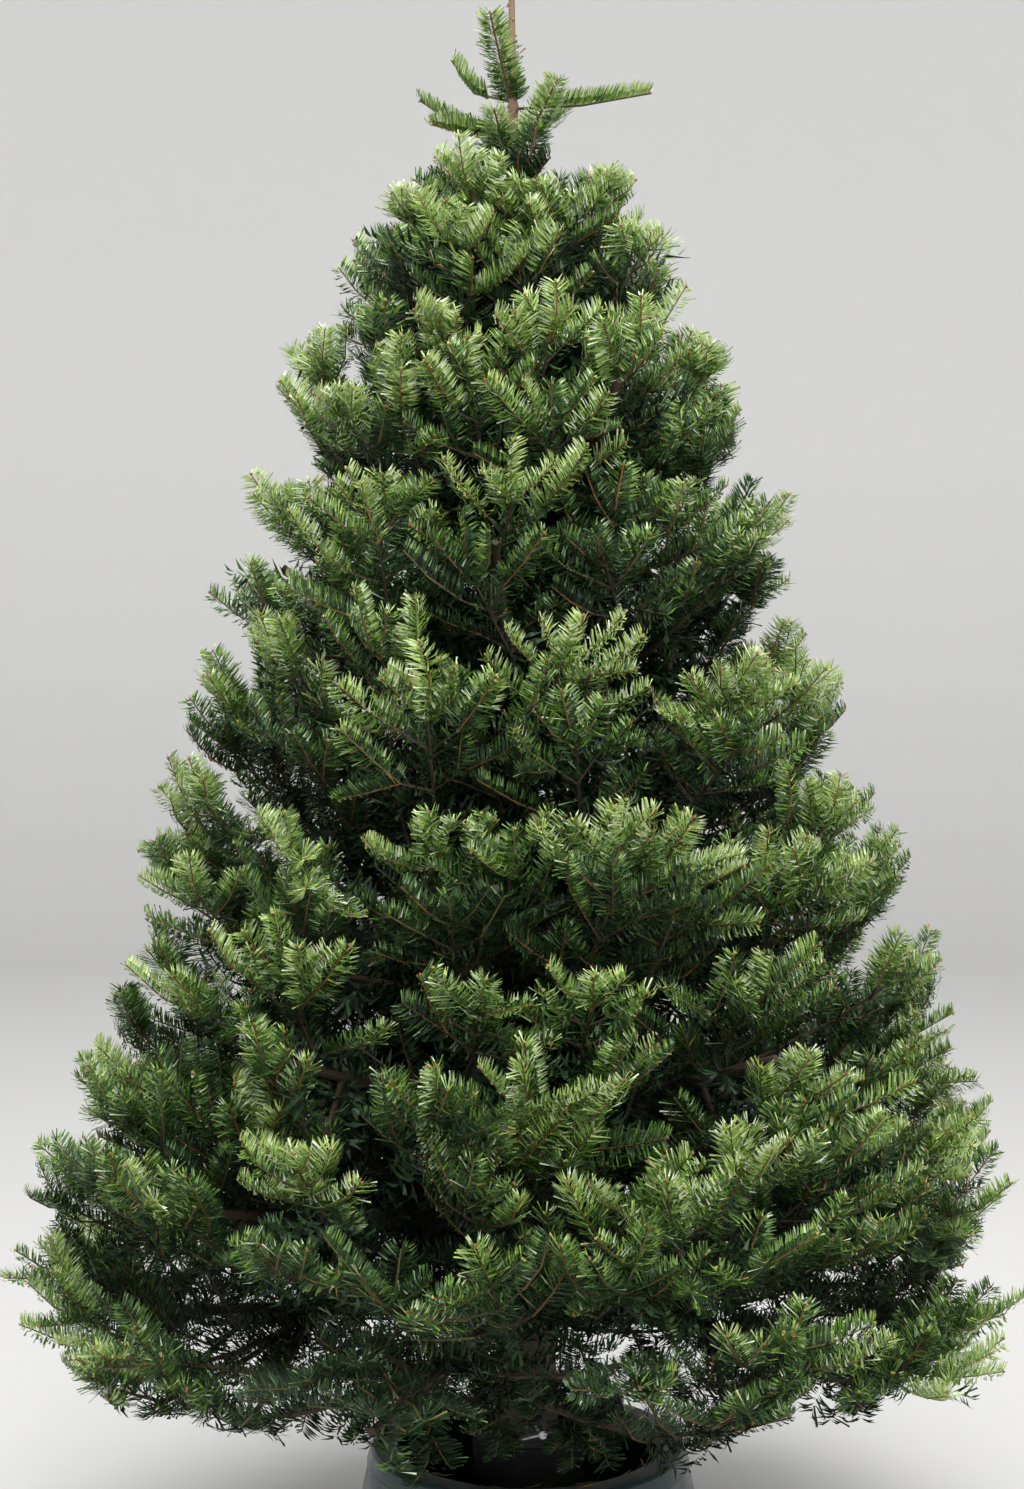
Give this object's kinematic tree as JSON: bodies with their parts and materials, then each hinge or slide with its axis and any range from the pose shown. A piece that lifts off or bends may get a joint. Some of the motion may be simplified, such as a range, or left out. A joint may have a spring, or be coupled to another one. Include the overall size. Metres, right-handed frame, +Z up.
{
  "type": "christmas tree in a stand",
  "caption": "Cut fir tree with a dense cone of tiered branches and a bare leader, clamped upright in a round moulded water stand.",
  "frame": {"origin": "middle of the stand's flat underside, on the floor", "axes": "+Z up along the trunk; -Y towards the front seen in the picture; +X to the right of that view"},
  "size_m": [1.302, 1.2986, 2.16],
  "materials": {
    "bark": "rough grey-brown bark",
    "needles": "glossy green needles, paler beneath, on red-brown twigs",
    "stand_plastic": "moulded dark green plastic, a little glossy",
    "collar_plastic": "moulded black plastic, matt and a little dusty",
    "screw_metal": "plated steel rod"
  },
  "bodies": {
    "root": {"stand_bowl": "stand_plastic", "stand_collar": "collar_plastic", "clamp_screw_1": "screw_metal", "clamp_screw_2": "screw_metal", "clamp_screw_3": "screw_metal", "clamp_screw_4": "screw_metal", "trunk": "bark", "bough_1_1": "bark", "foliage_1_1": "needles", "bough_1_2": "bark", "foliage_1_2": "needles", "bough_1_3": "bark", "foliage_1_3": "needles", "bough_1_4": "bark", "foliage_1_4": "needles", "bough_1_5": "bark", "foliage_1_5": "needles", "bough_2_1": "bark", "foliage_2_1": "needles", "bough_2_2": "bark", "foliage_2_2": "needles", "bough_2_3": "bark", "foliage_2_3": "needles", "bough_2_4": "bark", "foliage_2_4": "needles", "bough_2_5": "bark", "foliage_2_5": "needles", "foliage_3_1": "needles", "foliage_3_2": "needles", "foliage_3_3": "needles", "foliage_3_4": "needles", "foliage_3_5": "needles", "foliage_4_1": "needles", "foliage_4_2": "needles", "foliage_4_3": "needles", "foliage_4_4": "needles", "foliage_5_1": "needles", "foliage_5_2": "needles", "foliage_5_3": "needles", "foliage_5_4": "needles", "foliage_6_1": "needles", "foliage_6_2": "needles", "foliage_6_3": "needles", "foliage_6_4": "needles", "foliage_7_1": "needles", "foliage_7_2": "needles", "foliage_7_3": "needles", "foliage_8_1": "needles", "foliage_8_2": "needles", "foliage_8_3": "needles", "top_branch_1": "needles", "top_branch_2": "needles", "top_branch_3": "needles", "top_branch_4": "needles", "top_branch_5": "needles", "top_branch_6": "needles", "top_branch_7": "needles", "top_branch_8": "needles", "top_branch_9": "needles", "top_branch_10": "needles"}
  },
  "joints": []
}
